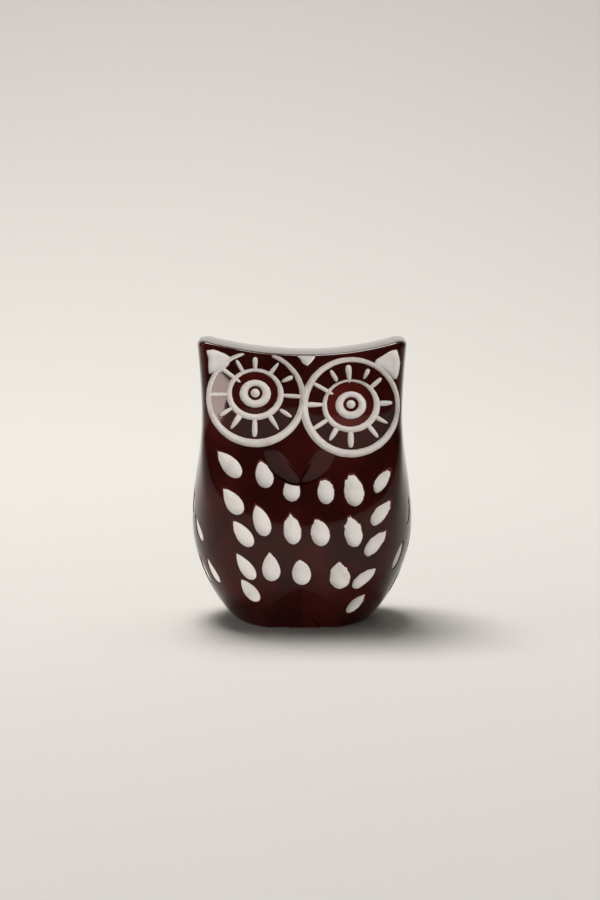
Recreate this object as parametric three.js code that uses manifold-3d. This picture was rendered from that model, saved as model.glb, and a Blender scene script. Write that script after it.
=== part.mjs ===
// A carved owl figurine. A solid pale block is carved to shape and coated with dark lacquer, and
// every mark is cut through the lacquer into the block. Where cuts meet, they free islands of
// lacquer inside each eye, and each island is a solid of its own.
// Millimetres, +Z up, origin at the middle of the base. The owl faces -Y, and left means -X.
import * as THREE from "three";
import { mergeVertices } from "three/addons/utils/BufferGeometryUtils.js";
import Module from "manifold-3d";

const wasm = await Module();
wasm.setup();

// ---- Driving dimensions ----
const block = {
  crownHeight: 47.8, // base to the lowest point of the hollow crown's rim
  hollowX: 1.0, // that point's offset to the right
  earRise: 2.2, // ear tips above that point
  earSpread: 16.6, // ear tips from the middle plane
  bellyHeight: 18, // where the body is widest
  waistHeight: 36.5, // where it is narrowest, under the ears
  crownCamber: 0.25, // crown's rise from its front and back edges to its middle
  crownFall: 0.8, // how much lower the crown's back edge is than its front edge
  crownRound: 0.7, // radius of the crown's edge
  baseRound: 0.7, // radius of the base's edge
  widthSwell: 0.71, // powers of the sine that swells the width and the depth from base to belly
  depthSwell: 1.1,
};
const width = { base: 22.4, belly: 38.8, waist: 35.2, crown: 36.8, swell: block.widthSwell };
const depth = { base: 22.8, belly: 28, waist: 23.6, crown: 22.6, swell: block.depthSwell };
// Sections have a broad front and back panel and rounder flanks, which meet along a soft edge from
// each ear down to the base. The inset is how far that edge is in from the widest point.
const panel = {
  inset: { base: 2.5, belly: 4.9, head: 0.7 },
  full: 10, // the belly's inset and bulge hold from this height
  from: 14, // up to this one
  to: 34, // and the head's hold from here on
  bulge: { base: 13, belly: 30, head: 70 }, // half the width at which a panel's curve would close
  crispness: 12, // power that rounds the edge: a higher one makes it sharper
};

const coat = {
  thickness: 0.4, // lacquer film
  gap: 0.1, // between the film's inside and the block
  lift: 0.2, // film's lower edge above what the owl stands on
};

const feet = {
  apex: 7.6, // height where the two foot facets and the belly meet
  inset: depth.base / 2 - 2.6, // facets' middle edge in front of the origin, at the base
  splay: 4, // how far each facet is turned back from facing forwards, degrees
};
// The toe is a small wedge left where the facets meet. It leans back by an angle in degrees.
const toe = { height: 3.1, halfWidth: 2.7, x: 0.4, lean: 12 };

// Rings of an eye are the bands between two ellipses: [x offset, z offset, x radius, z radius].
// A spoke is [clock angle in degrees, bridge left at its inner end, bridge left at its outer end,
// width], with angle 0 up and 90 right. A bridge below zero means the spoke opens into the ring.
// The left eye's outer ring runs out over the crown's edge, so its upper part stays one with the
// body's lacquer.
const intoRing = -0.8;
const eyes = {
  margin: 0.95, // from an outer ring to the flank at the waist
  overlap: 0.65, // of the two outer rings on the middle plane
  ring: 1.05, // width of an outer ring at its side
  rightShift: 0.35, // how much nearer the flank the right eye is
};
const eyeRadius = (width.waist / 2 - eyes.margin + eyes.overlap) / 2;
const eyeX = width.waist / 2 - eyes.margin - eyeRadius;
const leftEye = {
  name: "left_eye",
  x: -eyeX,
  z: block.crownHeight + 2.25 - eyeRadius,
  dome: 0.9, // how far the eye stands out, and the radius of that dome
  domeRadius: eyeRadius - 0.75,
  outer: {
    inside: [0, -0.75, eyeRadius - eyes.ring, eyeRadius - 1.4],
    outside: [0.05, -1.1, eyeRadius, eyeRadius - 0.25],
    depth: coat.thickness + 0.8,
    segments: 22,
  },
  inner: {
    inside: [-0.1, 0, 3.95, 3.65],
    outside: [-0.1, -0.2, 5.0, 4.5],
    depth: coat.thickness + 0.45,
    segments: 18,
  },
  disc: {
    inside: [0, 0, 1.25, 1.2],
    outside: [0, -0.1, 2.75, 2.45],
    depth: coat.thickness + 0.35,
    segments: 14,
  },
  dot: { radius: 0.85, depth: coat.thickness + 0.2 },
  spokes: [
    [0, intoRing, 0.25, 0.95],
    [38, intoRing, 0.25, 0.75],
    [67, 0.2, 0.25, 0.75],
    [95, intoRing, intoRing, 0.85],
    [124, 0.2, 0.35, 0.75],
    [148, intoRing, 0.35, 0.8],
    [181, intoRing, 0.3, 0.95],
    [214, intoRing, 0.3, 0.85],
    [237, intoRing, 0.45, 0.75],
    [267, intoRing, intoRing, 0.9],
    [306, intoRing, intoRing, 0.85],
    [330, intoRing, 0.25, 0.7],
  ],
};
const rightEye = {
  name: "right_eye",
  x: eyeX + eyes.rightShift,
  z: block.crownHeight + 0.35 - eyeRadius,
  dome: 0.95,
  domeRadius: eyeRadius - 0.85,
  outer: {
    inside: [0.15, -0.35, eyeRadius - eyes.ring - 0.05, eyeRadius - 1.1],
    outside: [0, -0.55, eyeRadius + 0.05, eyeRadius],
    depth: coat.thickness + 0.8,
    segments: 22,
  },
  inner: {
    inside: [-0.1, 0, 4.0, 3.85],
    outside: [0.05, -0.3, 5.05, 4.65],
    depth: coat.thickness + 0.45,
    segments: 18,
  },
  disc: {
    inside: [0, 0, 1.3, 1.27],
    outside: [0, -0.15, 2.7, 2.45],
    depth: coat.thickness + 0.35,
    segments: 14,
  },
  dot: { radius: 0.84, depth: coat.thickness + 0.2 },
  spokes: [
    [354, intoRing, 0.35, 1.0],
    [26, 0.5, 0.5, 0.85],
    [50, intoRing, 0.3, 0.85],
    [89, intoRing, 0.25, 0.9],
    [117, intoRing, 0.35, 0.7],
    [141, intoRing, 0.4, 0.8],
    [180, intoRing, 0.3, 1.05],
    [210, intoRing, 0.45, 0.85],
    [235, intoRing, intoRing, 0.8],
    [269, intoRing, intoRing, 0.8],
    [299, intoRing, intoRing, 0.8],
    [329, 0.4, 0.35, 0.75],
  ],
};

// The scoop below the eyes is a round hollow with a flat floor. The floor runs out of the front at
// the top, where it would stand proud by a little, and is undercut by an angle in degrees.
const scoop = { x: -0.4, z: rightEye.z - 7.8, radius: 6.1, topAbove: 2.3, proud: 0.13, undercut: 3 };
// The beak is what stands in the scoop between two sloping cuts.
const beak = {
  tip: [-0.2, scoop.z - scoop.radius + 1.3], // x and z of its point
  halfWidth: 3.4, // half its width at the top
  top: scoop.z + 0.9, // height of that width
  sideTurn: 40, // how far its sides face forwards, degrees
  rise: 0.4, // how far its ridge stands out
};

// Feather cuts as [across, height, length, width, lean in degrees]: across and height are the
// middle of the cut, the tip is its upper end, and a positive lean turns the tip to the right.
// The rows are drawn for a breast and a back of the heights in drawnFor, and are spaced out or
// closed up to fill the room there is below the eyes and below the crown.
const drawnFor = { breast: 31.7, back: 47.8 };
const breastFit = scoop.z / drawnFor.breast;
const backFit = block.crownHeight / drawnFor.back;
const breastCuts = [
  [-12.7, 29.2, 6.1, 3.0, -44],
  [-12.2, 22.9, 5.8, 3.0, -40],
  [-10.5, 17.3, 5.9, 2.8, -39],
  [-10.0, 11.4, 6.0, 2.5, -37],
  [-9.3, 7.0, 5.4, 2.5, -42],
  [-6.5, 27.6, 5.0, 3.1, -10],
  [-6.9, 19.7, 6.0, 3.1, -12],
  [-5.4, 11.5, 5.6, 3.3, -6],
  [-1.9, 25.1, 4.6, 3.1, -6],
  [-1.7, 18.1, 5.5, 3.1, -5],
  [-0.1, 10.6, 4.9, 3.4, -5],
  [4.0, 24.6, 4.5, 3.0, -8],
  [3.2, 17.5, 4.9, 3.4, -8],
  [6.6, 9.9, 5.1, 3.6, -1],
  [8.9, 24.8, 5.7, 3.5, -6],
  [9.0, 17.6, 5.6, 3.1, -3],
  [13.8, 26.4, 4.9, 2.2, 28],
  [13.6, 20.9, 5.5, 2.4, 33],
  [12.8, 15.6, 5.9, 2.4, 37],
  [10.9, 9.4, 5.7, 2.2, 46],
  [9.6, 4.4, 4.9, 2.0, 48],
];
// On each flank, across is the distance in front of the middle, and a positive lean turns the tip
// to the back.
const flankCuts = {
  left: [
    [6.6, 17.2, 5.2, 2.1, 27],
    [8.3, 10.1, 4.9, 1.9, 12],
    [3.0, 22.0, 5.4, 2.4, 18],
    [4.6, 9.6, 5.2, 2.2, 14],
    [-1.6, 15.4, 5.6, 2.4, 12],
  ],
  right: [
    [5.4, 20.2, 5.2, 2.2, 22],
    [7.6, 12.6, 5.2, 2.0, 14],
    [1.8, 14.6, 5.6, 2.4, 16],
    [3.6, 7.6, 4.8, 2.2, 12],
    [-2.4, 21.2, 5.4, 2.4, 12],
  ],
};
// The back is cut in rows: [height, number of cuts, spacing].
const backRows = [
  [37.5, 3, 8.6],
  [28.5, 4, 8.0],
  [19.5, 3, 8.6],
  [10.8, 2, 8.2],
];
const backCut = { length: 5.6, width: 3.1, fan: 2.2 }; // fan is the lean for each mm off the middle
const cutDepth = 0.32; // a feather cut's depth as a share of its width
const cutPoint = 0.8; // how sharply a feather cut narrows to its tip
const spokeDepth = coat.thickness + 0.45; // depth of the spokes of the eyes
const cutClear = 0.9; // how far each cutter stands out of the surface

// Ear tufts and the forehead chip. Their outlines are [across, up] from a point on the level of
// the crown's lowest point: the crown's end on that side, or the middle of the forehead.
const tufts = [
  {
    from: -width.crown / 2,
    depth: 1.0,
    outline: [[2.0, 0.7], [5.2, 0.3], [6.7, -1.1], [4.4, -2.6], [2.3, -3.7]],
  },
  {
    from: width.crown / 2,
    depth: 1.0,
    outline: [[-2.1, 0.4], [-4.8, -1.2], [-6.2, -2.6], [-3.8, -3.7], [-2.0, -5.0], [-1.5, -2.6]],
  },
  { from: 0, depth: 0.7, outline: [[-1.5, -0.3], [0.6, -2.8], [2.4, -0.7], [2.2, 0]] },
];

// The body's surface is laid out in columns around it and rows down it. Columns are shares of the
// turn from the middle of a panel to its edge, at 1, and on to the middle of the flank, at 2.
const bodyMesh = {
  front: [0, 0.14, 0.28, 0.46, 0.62, 0.77, 0.9, 1, 1.12, 1.45],
  back: [0, 0.3, 0.58, 0.8, 0.92, 1, 1.12, 1.45],
  sideRows: 14,
  capRows: 2,
  roundRows: 2,
};

// ---- The block's shape ----
const { lerp, clamp, smoothstep, degToRad } = THREE.MathUtils;

// Width or depth at a height, through its four named sizes.
function spanAt(sizes, height) {
  const h = Math.max(height, 0);
  if (h < block.bellyHeight) {
    const swell = Math.sin((Math.PI / 2) * (h / block.bellyHeight)) ** sizes.swell;
    return lerp(sizes.base, sizes.belly, swell);
  }
  if (h < block.waistHeight)
    return lerp(sizes.belly, sizes.waist, smoothstep(h, block.bellyHeight, block.waistHeight));
  const rise = (h - block.waistHeight) / (block.crownHeight - block.waistHeight);
  return lerp(sizes.waist, sizes.crown, rise * rise);
}

// The section at a level: half its width and depth, the place of its edge, and the two ellipses,
// one of the panels and one of the flanks, that are rounded into each other.
function sectionAt(level) {
  const { inset, bulge, full, from, to, crispness } = panel;
  const a = spanAt(width, level) / 2;
  const b = spanAt(depth, level) / 2;
  const low = smoothstep(level, 0, full);
  const up = smoothstep(level, from, to);
  const edgeX = a - lerp(lerp(inset.base, inset.belly, low), inset.head, up);
  const panelA = lerp(lerp(bulge.base, bulge.belly, low), bulge.head, up);
  const edgeY = b * Math.sqrt(1 - (edgeX / panelA) ** 2);
  const flankB = edgeY / Math.sqrt(1 - (edgeX / a) ** 2);
  const panelB = b / (1 - (b / flankB) ** crispness) ** (1 / crispness);
  const flankA = a / (1 - (a / panelA) ** crispness) ** (1 / crispness);
  return { a, b, edgeX, edgeY, panelA, panelB, flankA, flankB };
}

// Below 1 for x, y inside a section, and above it outside.
function gauge({ panelA, panelB, flankA, flankB }, x, y) {
  const onPanel = (x / panelA) ** 2 + (y / panelB) ** 2;
  const onFlank = (x / flankA) ** 2 + (y / flankB) ** 2;
  const power = panel.crispness / 2;
  return (onPanel ** power + onFlank ** power) ** (1 / (2 * power));
}

// How far a section reaches along one axis, at a distance off the middle along the other.
function reachOf(far, insideAt) {
  let low = 0;
  let high = far;
  for (let i = 0; i < 30; i++) {
    const middle = (low + high) / 2;
    if (insideAt(middle)) low = middle;
    else high = middle;
  }
  return low;
}

function halfDepthAt(x, level) {
  const section = sectionAt(level);
  const off = Math.min(Math.abs(x), 0.995 * section.a);
  return reachOf(section.b, (y) => gauge(section, off, y) < 1);
}

// The crown is hollow from ear to ear: each level bends up towards the ears, more near the top.
const headShare = (level) =>
  clamp((level - block.waistHeight) / (block.crownHeight - block.waistHeight), 0, 1);
function earLift(x, level) {
  const share = headShare(level);
  const lift = ((x - block.hollowX * (1 - Math.abs(x) / block.earSpread)) / block.earSpread) ** 2;
  return block.earRise * Math.min(lift, 1) * share * share;
}

// The level whose lifted height at x is z.
function levelAt(x, z) {
  let level = z;
  for (let i = 0; i < 6; i++) level = z - earLift(x, level);
  return level;
}

// How far the front stands out of the plain block at x, z: the domes of the eyes and the beak.
function relief(x, z) {
  let out = 0;
  for (const eye of [leftEye, rightEye]) {
    const r = Math.hypot(x - eye.x, z - eye.z) / eye.domeRadius;
    if (r < 1) out += eye.dome * (1 - r * r);
  }
  const up = (z - beak.tip[1]) / (beak.top - beak.tip[1]);
  const half = beak.halfWidth * clamp(up, 0.1, 1);
  const off = Math.abs(x - beak.tip[0]) / half;
  if (off < 1) out += beak.rise * (1 - off) * clamp(Math.min(up + 0.4, 1.8 - up), 0, 1);
  return out;
}

// The front of the block at x, z as a negative y, and its flank at y, z as a positive x.
function frontY(x, z) {
  return -halfDepthAt(x, levelAt(x, z)) - relief(x, z);
}
function backY(x, z) {
  return halfDepthAt(x, levelAt(x, z));
}
function flankX(y, z) {
  const section = sectionAt(z);
  const off = Math.min(Math.abs(y), 0.995 * section.b);
  return reachOf(section.a, (x) => gauge(section, x, off) < 1);
}

// The rows of the body's surface from the middle of the crown down to the middle of the base:
// scale shrinks a section about its middle, and inset draws it in by a distance.
function bodyRows() {
  const rows = [];
  const { capRows, roundRows, sideRows } = bodyMesh;
  for (let i = 0; i < capRows; i++)
    rows.push({ scale: i / capRows, inset: block.crownRound, level: block.crownHeight, cap: true });
  for (let i = 0; i <= roundRows; i++) {
    const turn = (Math.PI / 2) * (i / roundRows);
    rows.push({
      scale: 1,
      inset: block.crownRound * (1 - Math.sin(turn)),
      level: block.crownHeight - block.crownRound * (1 - Math.cos(turn)),
      cap: i === 0,
    });
  }
  const underCrown = block.crownHeight - block.crownRound;
  for (let i = 1; i < sideRows; i++)
    rows.push({ scale: 1, inset: 0, level: lerp(underCrown, block.baseRound, i / sideRows) });
  for (let i = 0; i <= roundRows; i++) {
    const turn = (Math.PI / 2) * (i / roundRows);
    rows.push({
      scale: 1,
      inset: block.baseRound * (1 - Math.cos(turn)),
      level: block.baseRound * (1 - Math.sin(turn)),
    });
  }
  for (const scale of [0.5, 0]) rows.push({ scale, inset: block.baseRound, level: 0 });
  return rows;
}

// The columns' angles all the way around a section, from the right flank by the front to the left.
function bodyTurns({ edgeX, edgeY }) {
  const corner = Math.atan2(edgeX, edgeY);
  const turnOf = (share) =>
    share < 1 ? share * corner : lerp(corner, Math.PI / 2, share - 1);
  const front = bodyMesh.front.map(turnOf);
  const back = bodyMesh.back.map(turnOf);
  const quarter = Math.PI / 2;
  return [
    front.map((turn) => turn - quarter),
    [0, ...back.slice(1).map((turn) => quarter - turn).reverse()],
    back.map((turn) => turn + quarter),
    [2 * quarter, ...front.slice(1).map((turn) => 3 * quarter - turn).reverse()],
  ].flat();
}

// The block's outer surface, as a sphere whose rows are moved on to the owl's shape.
function bodyGeometry() {
  const rows = bodyRows();
  const columns = 2 * (bodyMesh.front.length + bodyMesh.back.length);
  const geometry = new THREE.SphereGeometry(1, columns, rows.length - 1);
  const position = geometry.attributes.position;
  rows.forEach((row, j) => {
    const section = sectionAt(row.level);
    const turns = bodyTurns(section);
    const shrinkX = (1 - row.inset / section.a) * row.scale;
    const shrinkY = (1 - row.inset / section.b) * row.scale;
    for (let i = 0; i <= columns; i++) {
      const turn = turns[i % columns];
      const c = Math.cos(turn);
      const s = Math.sin(turn);
      const reach = 1 / gauge(section, c, s);
      const x = shrinkX * reach * c;
      let y = shrinkY * reach * s;
      const fall = (block.crownFall * (y + section.b)) / (2 * section.b);
      let z = row.level + earLift(x, row.level) - fall * headShare(row.level) ** 2;
      if (row.cap) z += block.crownCamber * (1 - (y / section.b) ** 2);
      else if (row.scale === 1 && y < 0) y -= relief(x, z) * Math.min(1, (-2 * y) / section.b);
      position.setXYZ(j * (columns + 1) + i, x, y, z);
    }
  });
  geometry.deleteAttribute("uv");
  geometry.deleteAttribute("normal");
  const merged = mergeVertices(geometry, 1e-4);
  merged.computeVertexNormals();
  return merged;
}

// ---- Solids ----
function solidFrom(geometry) {
  const bare = geometry.clone();
  bare.deleteAttribute("normal");
  bare.deleteAttribute("uv");
  const merged = mergeVertices(bare, 1e-4);
  const triVerts = [];
  const index = merged.index.array;
  for (let i = 0; i < index.length; i += 3) {
    const [p, q, r] = [index[i], index[i + 1], index[i + 2]];
    if (p !== q && q !== r && r !== p) triVerts.push(p, q, r);
  }
  const made = new wasm.Manifold(
    new wasm.Mesh({
      numProp: 3,
      vertProperties: new Float32Array(merged.attributes.position.array),
      triVerts: new Uint32Array(triVerts),
    }),
  );
  if (made.volume() >= 0) return made;
  return new wasm.Manifold(
    new wasm.Mesh({
      numProp: 3,
      vertProperties: new Float32Array(merged.attributes.position.array),
      triVerts: new Uint32Array(triVerts.reverse()),
    }),
  );
}

function geometryFrom(solid) {
  const made = solid.getMesh();
  const positions = new Float32Array(made.numVert * 3);
  for (let i = 0; i < made.numVert; i++)
    positions.set(made.vertProperties.subarray(i * made.numProp, i * made.numProp + 3), i * 3);
  const geometry = new THREE.BufferGeometry();
  geometry.setAttribute("position", new THREE.BufferAttribute(positions, 3));
  geometry.setIndex(new THREE.BufferAttribute(made.triVerts, 1));
  geometry.computeVertexNormals();
  return geometry;
}

// The body drawn in by a distance along its normals. With baseOpen set, its base runs on downwards.
function bodySolid(drawIn, baseOpen = false) {
  const geometry = bodyGeometry();
  const { position, normal } = geometry.attributes;
  for (let i = 0; i < position.count; i++) {
    const atBase = position.getZ(i) < 1e-3;
    position.setXYZ(
      i,
      position.getX(i) - drawIn * normal.getX(i),
      position.getY(i) - drawIn * normal.getY(i),
      atBase ? (baseOpen ? -2 : 0) : position.getZ(i) - drawIn * normal.getZ(i),
    );
  }
  return solidFrom(geometry).subtract(footCutter(drawIn)).subtract(scoopCutter(drawIn));
}

// Everything in front of a plane through a point, as a big block with one face on that plane.
// The plane is moved back by a distance, so that a coat of that thickness lies in front of it.
function inFrontOf(point, normal, drawIn) {
  const size = 60;
  const slab = new THREE.BoxGeometry(size, size, size).translate(0, 0, size / 2 - drawIn);
  const facing = new THREE.Vector3(...normal).normalize();
  slab.applyQuaternion(new THREE.Quaternion().setFromUnitVectors(new THREE.Vector3(0, 0, 1), facing));
  return solidFrom(slab.translate(...point));
}
const behind = (point, normal, drawIn) => inFrontOf(point, normal.map((n) => -n), -drawIn);

// The two foot facets under the belly, less the small toe that is left on the edge they share.
function footCutter(drawIn) {
  const slope = (-frontY(0, feet.apex) - feet.inset) / feet.apex;
  const splay = Math.tan(degToRad(feet.splay));
  const [left, right] = [-1, 1].map((side) => {
    const facet = inFrontOf([0, -feet.inset, 0], [side * splay, -1, -slope], drawIn);
    return facet.intersect(inFrontOf([0, 0, 0], [side, 0, 0], 0));
  });
  const toeTop = [toe.x, -feet.inset - slope * toe.height, toe.height];
  const keep = behind(toeTop, [0, -1, -Math.tan(degToRad(toe.lean))], drawIn)
    .intersect(behind(toeTop, [-toe.height, 0, toe.halfWidth], drawIn))
    .intersect(behind(toeTop, [toe.height, 0, toe.halfWidth], drawIn));
  return left.add(right).subtract(keep);
}

// The scoop below the eyes, less the beak, which narrows down to its tip between two sloping sides.
function scoopCutter(drawIn) {
  const radius = scoop.radius + drawIn;
  const round = new THREE.CylinderGeometry(radius, radius, 30, 24).translate(scoop.x, -15, scoop.z);
  const floorTopZ = scoop.z + scoop.topAbove;
  const floorPoint = [0, frontY(scoop.x, floorTopZ) - scoop.proud, floorTopZ];
  const floor = inFrontOf(floorPoint, [0, -1, -Math.tan(degToRad(scoop.undercut))], drawIn);
  const [x, z] = beak.tip;
  const edge = new THREE.Vector2(beak.halfWidth, beak.top - z).normalize();
  const [out, forward] = [Math.cos(degToRad(beak.sideTurn)), Math.sin(degToRad(beak.sideTurn))];
  const tip = [x, frontY(x, z), z];
  const keep = [-1, 1].map((side) => behind(tip, [side * edge.y * out, -forward, -edge.x * out], drawIn));
  return solidFrom(round).intersect(floor).subtract(keep[0].intersect(keep[1]));
}

// ---- Cutters ----
// Each is made flat, with x across, y up the face and z out of it, and then laid on a face.
const faces = {
  front: (u, v, w) => [u, frontY(u, v) - w, v],
  back: (u, v, w) => [-u, backY(-u, v) + w, v],
  left: (u, v, w) => [-flankX(-u, v) - w, -u, v],
  right: (u, v, w) => [flankX(u, v) + w, u, v],
};

function layOn(face, geometry) {
  const position = geometry.attributes.position;
  for (let i = 0; i < position.count; i++)
    position.setXYZ(i, ...faces[face](position.getX(i), position.getY(i), position.getZ(i)));
  return solidFrom(geometry);
}

// A cut that narrows to a tip at its upper end: a sphere stretched and drawn to a point.
function dropCutter([across, height, length, broad, lean], deep, sharpness, segments) {
  const geometry = new THREE.SphereGeometry(1, segments, segments - 1);
  const position = geometry.attributes.position;
  const widest = 0.77 ** sharpness; // the drop's widest half before it is scaled
  for (let i = 0; i < position.count; i++) {
    const along = position.getY(i);
    const taper = ((1 - along) / 2) ** (sharpness / 2);
    const out = position.getZ(i);
    position.setXYZ(
      i,
      (position.getX(i) * taper * broad) / 2 / widest,
      (along * length) / 2,
      out * (out > 0 ? cutClear : (deep * taper) / widest),
    );
  }
  geometry.rotateZ(-degToRad(lean));
  geometry.translate(across, height, 0);
  return geometry;
}

// A groove between two ellipses about an eye's middle, cut to a V.
function bandCutter(eye, band) {
  const section = [
    [0, cutClear],
    [0.05, 0],
    [0.5, -1],
    [0.95, 0],
    [1, cutClear],
    [0, cutClear],
  ];
  const deep = (out) => (out < 0 ? out * band.depth : out);
  const profile = section.map(([share, out]) => new THREE.Vector2(2 + share, deep(out)));
  const geometry = new THREE.LatheGeometry(profile, band.segments);
  const position = geometry.attributes.position;
  for (let i = 0; i < position.count; i++) {
    const turn = Math.atan2(position.getZ(i), position.getX(i));
    const share = Math.hypot(position.getX(i), position.getZ(i)) - 2;
    const [xi, zi, rxi, rzi] = band.inside;
    const [xo, zo, rxo, rzo] = band.outside;
    position.setXYZ(
      i,
      eye.x + lerp(xi + rxi * Math.cos(turn), xo + rxo * Math.cos(turn), share),
      eye.z + lerp(zi + rzi * Math.sin(turn), zo + rzo * Math.sin(turn), share),
      position.getY(i),
    );
  }
  return geometry;
}

// The distance from an eye's middle to one of its ellipses, along a clock angle.
function reachTo([x, z, rx, rz], turn) {
  const [u, v] = [Math.sin(turn) / rx, Math.cos(turn) / rz];
  const half = (u * x) / rx + (v * z) / rz;
  const square = u * u + v * v;
  return (half + Math.sqrt(half * half - square * ((x / rx) ** 2 + (z / rz) ** 2 - 1))) / square;
}

// A spoke is a straight cut with round ends, as wide and deep all along.
function spokeCutter(eye, [clock, innerBridge, outerBridge, broad]) {
  const turn = degToRad(clock);
  const inner = reachTo(eye.inner.outside, turn) + innerBridge;
  const outer = reachTo(eye.outer.inside, turn) - outerBridge;
  const straight = Math.max((outer - inner) / broad - 1, 0.05);
  const geometry = new THREE.CapsuleGeometry(0.5, straight, 1, 6);
  geometry.scale(broad, broad, 1).translate(0, (inner + outer) / 2, 0).rotateZ(-turn);
  const position = geometry.attributes.position;
  for (let i = 0; i < position.count; i++) {
    const out = 2 * position.getZ(i);
    position.setZ(i, out > 0 ? out * cutClear : out * spokeDepth);
  }
  return geometry.translate(eye.x, eye.z, 0);
}

// A straight-sided cut from an outline.
function tuftCutter({ from, outline, depth: deep }) {
  const corners = outline.map(([across, up]) => new THREE.Vector2(from + across, block.crownHeight + up));
  const shape = new THREE.Shape(corners);
  const geometry = new THREE.ExtrudeGeometry(shape, { depth: deep + cutClear, bevelEnabled: false });
  return geometry.translate(0, 0, -deep);
}

function allCutters() {
  const made = [];
  const feather = (face, ...cut) => made.push(layOn(face, dropCutter(cut, cut[3] * cutDepth, cutPoint, 6)));
  for (const [across, height, length, broad, lean] of breastCuts)
    feather("front", across, height * breastFit, length * breastFit, broad, lean);
  for (const [side, cuts] of Object.entries(flankCuts)) {
    const turn = side === "right" ? 1 : -1;
    for (const [across, height, length, broad, lean] of cuts)
      feather(side, -turn * across, height * breastFit, length * breastFit, broad, turn * lean);
  }
  for (const [height, count, spacing] of backRows)
    for (let i = 0; i < count; i++) {
      const across = (i - (count - 1) / 2) * spacing;
      const { length, width: broad, fan } = backCut;
      feather("back", across, height * backFit, length * backFit, broad, across * fan);
    }
  for (const tuft of tufts) made.push(layOn("front", tuftCutter(tuft)));
  for (const eye of [leftEye, rightEye]) {
    for (const band of [eye.outer, eye.inner, eye.disc]) made.push(layOn("front", bandCutter(eye, band)));
    const dot = [eye.x, eye.z, 2 * eye.dot.radius, 2 * eye.dot.radius, 0];
    made.push(layOn("front", dropCutter(dot, eye.dot.depth, 0, 9)));
    for (const spoke of eye.spokes) made.push(layOn("front", spokeCutter(eye, spoke)));
  }
  return wasm.Manifold.union(made);
}

// ---- Materials ----
const paleBlock = new THREE.MeshStandardMaterial({ color: 0xe8ded4, roughness: 0.5, metalness: 0 });
const darkLacquer = new THREE.MeshStandardMaterial({ color: 0x35100c, roughness: 0.12, metalness: 0 });

// ---- Assembly ----
const owl = new THREE.Group();

function addPiece(name, solid, material) {
  const mesh = new THREE.Mesh(geometryFrom(solid), material);
  mesh.name = name;
  owl.add(mesh);
}

const cutters = allCutters();
const floorCutter = solidFrom(new THREE.BoxGeometry(60, 60, 4).translate(0, 0, coat.lift - 2));
const shell = bodySolid(0).subtract(bodySolid(coat.thickness, true));
const film = shell.subtract(cutters).subtract(floorCutter);
const islands = film.decompose();

// The block gives way to the film where a tight bend brings the two closer than the gap.
addPiece("carved_block", bodySolid(coat.thickness + coat.gap).subtract(cutters).subtract(film), paleBlock);

// The film falls into islands. Each is named by the part of the owl it covers, and is found by a
// probe set in it: at an eye, by clock angle and the two ellipses the probe is midway between.
// Chips too small to hold a probe have flaked off.
const covers = {
  body_lacquer: [0, frontY(0, block.waistHeight / 2), block.waistHeight / 2],
  left_eye_lower_field: eyePoint(leftEye, 198, leftEye.inner.outside, leftEye.outer.inside),
  left_eye_side_field: eyePoint(leftEye, 287, leftEye.inner.outside, leftEye.outer.inside),
  left_eye_iris_ring: eyePoint(leftEye, 45, leftEye.disc.outside, leftEye.inner.inside),
  left_eye_pupil_ring: eyePoint(leftEye, 45, dotEllipse(leftEye), leftEye.disc.inside),
  right_eye_main_field: eyePoint(rightEye, 70, rightEye.inner.outside, rightEye.outer.inside),
  right_eye_lower_side_field: eyePoint(rightEye, 252, rightEye.inner.outside, rightEye.outer.inside),
  right_eye_upper_side_field: eyePoint(rightEye, 284, rightEye.inner.outside, rightEye.outer.inside),
  right_eye_iris_ring: eyePoint(rightEye, 45, rightEye.disc.outside, rightEye.inner.inside),
  right_eye_pupil_ring: eyePoint(rightEye, 45, dotEllipse(rightEye), rightEye.disc.inside),
};

function dotEllipse(eye) {
  return [0, 0, eye.dot.radius, eye.dot.radius];
}

function eyePoint(eye, clock, within, beyond) {
  const turn = degToRad(clock);
  const reach = (reachTo(within, turn) + reachTo(beyond, turn)) / 2;
  const x = eye.x + reach * Math.sin(turn);
  const z = eye.z + reach * Math.cos(turn);
  return [x, frontY(x, z), z];
}

for (const [name, point] of Object.entries(covers)) {
  const probe = wasm.Manifold.cube([0.2, 2, 0.2], true).translate(point);
  const island = islands.find((solid) => solid.intersect(probe).volume() > 0.005);
  if (island) addPiece(name, island, darkLacquer);
}

export default owl;
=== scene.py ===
import math

import bpy
import numpy as np
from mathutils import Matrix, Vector, kdtree, noise


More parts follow.
